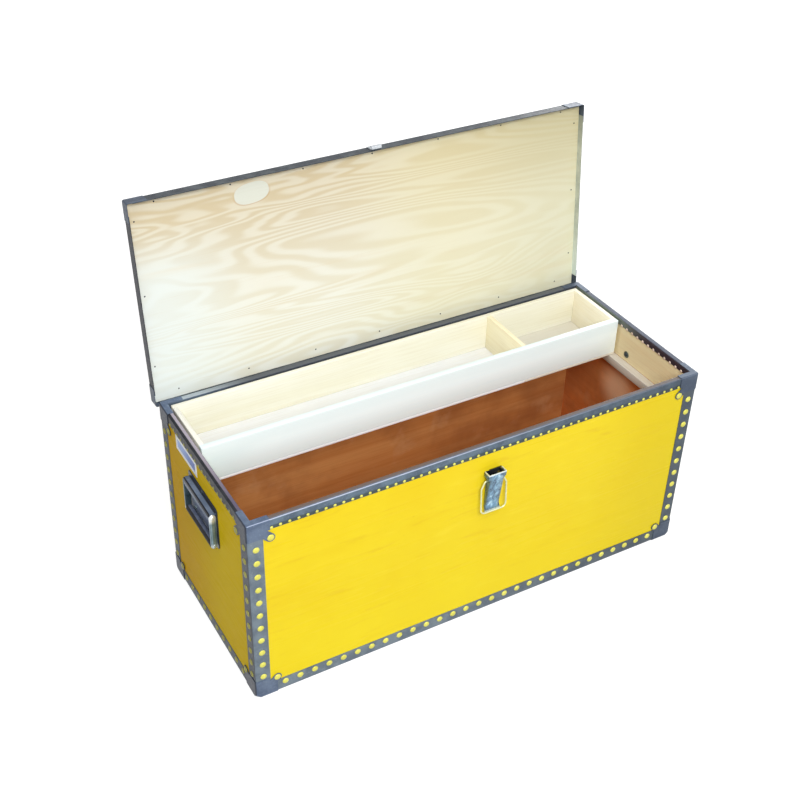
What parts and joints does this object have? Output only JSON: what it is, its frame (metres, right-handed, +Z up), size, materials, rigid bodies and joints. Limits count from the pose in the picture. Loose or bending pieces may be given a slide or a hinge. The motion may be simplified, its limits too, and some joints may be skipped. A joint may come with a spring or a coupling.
{
  "type": "chuck box",
  "caption": "Plywood camp kitchen chest bound in riveted sheet steel, with a hinged lid, sliding tray, draw latch and drop handles.",
  "frame": {"origin": "middle of the whole box's footprint as it stands at rest with the lid open, on the surface that it stands on; the chest's own middle is 27.6 mm in front of it", "axes": "+X along the chest's length towards its right end, +Y from the front to the hinges, +Z up"},
  "size_m": [0.9414, 0.4692, 0.7719],
  "materials": {
    "painted_plywood": "gloss yellow paint outside, red-brown wood inside",
    "birch_plywood": "varnished",
    "tray_wood": "satin",
    "rivet_plate": "pale yellow zinc plate",
    "binding_steel": "blue-grey satin",
    "dark_steel": "dark slate satin",
    "grip_rubber": "matt",
    "blue_zinc": "blue zinc plate",
    "bright_zinc": "bright zinc plate"
  },
  "bodies": {
    "chest": {"back_panel": "painted_plywood", "binding_rivets": "rivet_plate", "bottom_angle_back": "binding_steel", "bottom_angle_front": "binding_steel", "bottom_angle_left": "binding_steel", "bottom_angle_right": "binding_steel", "bottom_cap_back_left": "binding_steel", "bottom_cap_back_right": "binding_steel", "bottom_cap_front_left": "binding_steel", "bottom_cap_front_right": "binding_steel", "corner_angle_back_left": "binding_steel", "corner_angle_back_right": "binding_steel", "corner_angle_front_left": "binding_steel", "corner_angle_front_right": "binding_steel", "corner_rivets": "rivet_plate", "floor_panel": "painted_plywood", "front_panel": "painted_plywood", "handle_plate_left": "dark_steel", "handle_plate_right": "dark_steel", "handle_rivets": "bright_zinc", "handle_washers": "bright_zinc", "hinge_leaves_body": "bright_zinc", "hinge_pins": "bright_zinc", "latch_base": "blue_zinc", "latch_lever_pin": "blue_zinc", "latch_rivets": "bright_zinc", "left_end_panel": "painted_plywood", "right_end_panel": "painted_plywood", "rim_channel_back": "binding_steel", "rim_channel_front": "binding_steel", "rim_channel_left": "binding_steel", "rim_channel_right": "binding_steel", "top_bracket_back_left": "binding_steel", "top_bracket_back_right": "binding_steel", "top_bracket_front_left": "binding_steel", "top_bracket_front_right": "binding_steel", "tray_cleat_left": "tray_wood", "tray_cleat_right": "tray_wood"},
    "lid": {"hinge_leaves_lid": "bright_zinc", "keeper": "bright_zinc", "keeper_rivets": "bright_zinc", "lid_corners": "binding_steel", "lid_edge_back": "binding_steel", "lid_edge_front": "binding_steel", "lid_edge_left": "binding_steel", "lid_edge_right": "binding_steel", "lid_panel": "birch_plywood"},
    "latch_lever": {"latch_lever": "blue_zinc"},
    "latch_bail": {"latch_bail": "bright_zinc"},
    "handle_left": {"handle_bail_left": "bright_zinc", "handle_grip_left": "grip_rubber"},
    "handle_right": {"handle_bail_right": "bright_zinc", "handle_grip_right": "grip_rubber"},
    "tray": {"tray_back": "tray_wood", "tray_divider": "tray_wood", "tray_floor": "tray_wood", "tray_front": "tray_wood", "tray_left_end": "tray_wood", "tray_right_end": "tray_wood"}
  },
  "joints": [
    {"name": "lid_hinge", "type": "hinge", "parent": "chest", "child": "lid", "pos_m": [0, 0.1662, 0.382], "axis": [1, 0, 0], "range_deg": [0, 95.9]},
    {"name": "latch_lever_hinge", "type": "hinge", "parent": "chest", "child": "latch_lever", "pos_m": [0.006, -0.2281, 0.3365], "axis": [1, 0, 0], "range_deg": [-90, 0]},
    {"name": "latch_bail_hinge", "type": "hinge", "parent": "latch_lever", "child": "latch_bail", "pos_m": [0.006, -0.2236, 0.324], "axis": [-1, 0, 0], "range_deg": [0, 176.5]},
    {"name": "handle_left_hinge", "type": "hinge", "parent": "chest", "child": "handle_left", "pos_m": [-0.4642, -0.0276, 0.3205], "axis": [0, 1, 0], "range_deg": [0, 90]},
    {"name": "handle_right_hinge", "type": "hinge", "parent": "chest", "child": "handle_right", "pos_m": [0.4642, -0.0276, 0.3205], "axis": [0, -1, 0], "range_deg": [0, 90]},
    {"name": "tray_slide", "type": "slide", "parent": "chest", "child": "tray", "axis": [0, -1, 0], "range_m": [0, 0.205]}
  ]
}
